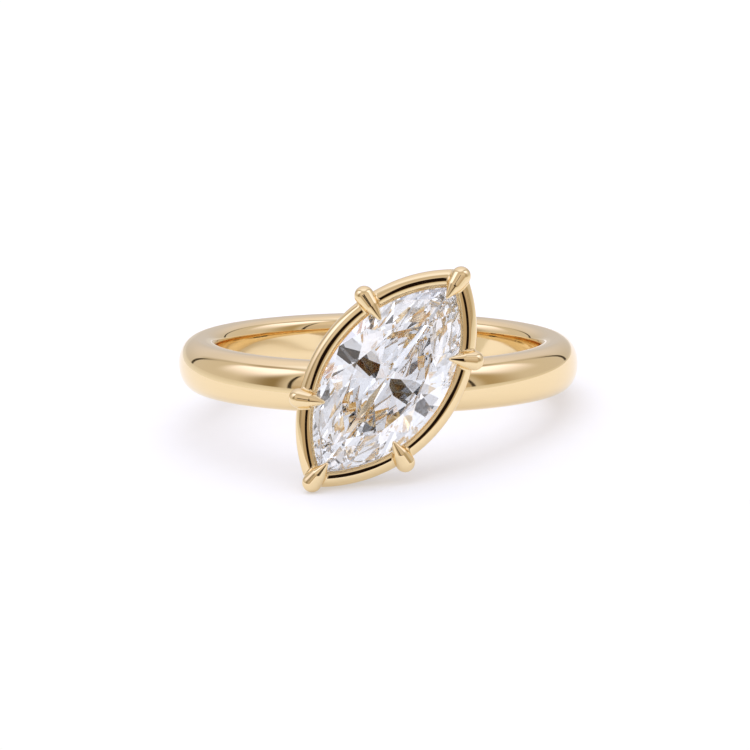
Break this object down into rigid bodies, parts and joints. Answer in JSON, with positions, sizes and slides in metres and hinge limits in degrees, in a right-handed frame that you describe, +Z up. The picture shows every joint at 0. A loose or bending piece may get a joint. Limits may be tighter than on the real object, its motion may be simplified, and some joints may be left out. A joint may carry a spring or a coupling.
{
  "type": "marquise pinky ring",
  "caption": "Slim domed gold finger ring carrying a tilted marquise stone in a round-wire rim with pointed claws on a low gallery.",
  "frame": {"origin": "middle of the bottom of the box of the ring as it lies on its side", "axes": "+Z up from the table, -Y towards the stone and the viewer, +X to the viewer's right; the finger's axis leans back and right of +Z because the ring rests on its head's lower claw and on the edge of its band"},
  "size_m": [0.0194, 0.0212, 0.0102],
  "materials": {
    "gold": "polished yellow gold",
    "diamond": "colourless, faceted and polished"
  },
  "bodies": {
    "root": {"ring_mount": "gold", "marquise_stone": "diamond"}
  },
  "joints": []
}
